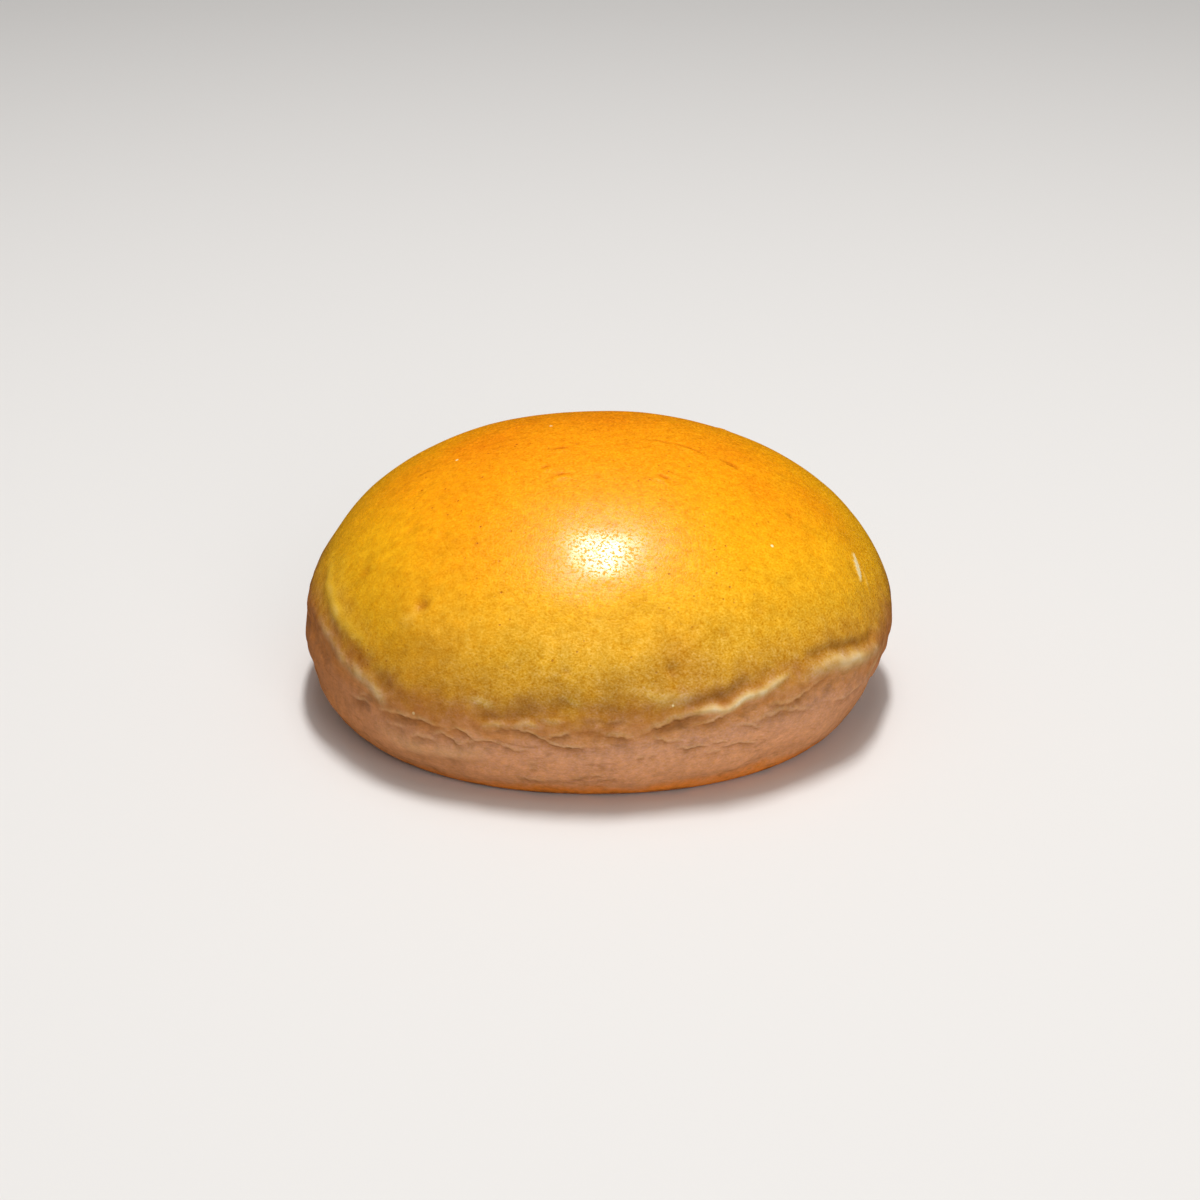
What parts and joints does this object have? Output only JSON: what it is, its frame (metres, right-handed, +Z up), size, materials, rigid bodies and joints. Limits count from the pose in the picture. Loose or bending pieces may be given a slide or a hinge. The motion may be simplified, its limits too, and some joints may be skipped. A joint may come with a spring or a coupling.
{
  "type": "brioche bun",
  "caption": "Domed round brioche bun with a glossy golden crust, a rolled lip over a pale creased flank, and a flat underside to rest on.",
  "frame": {"origin": "middle of the flat underside", "axes": "+Z up through the crown, +X to the right and -Y to the front as the bun is seen in the picture"},
  "size_m": [0.1, 0.0974, 0.046],
  "materials": {
    "crust": "egg-washed crust, golden on the dome and pale on the flank"
  },
  "bodies": {
    "root": {"bun": "crust"}
  },
  "joints": []
}
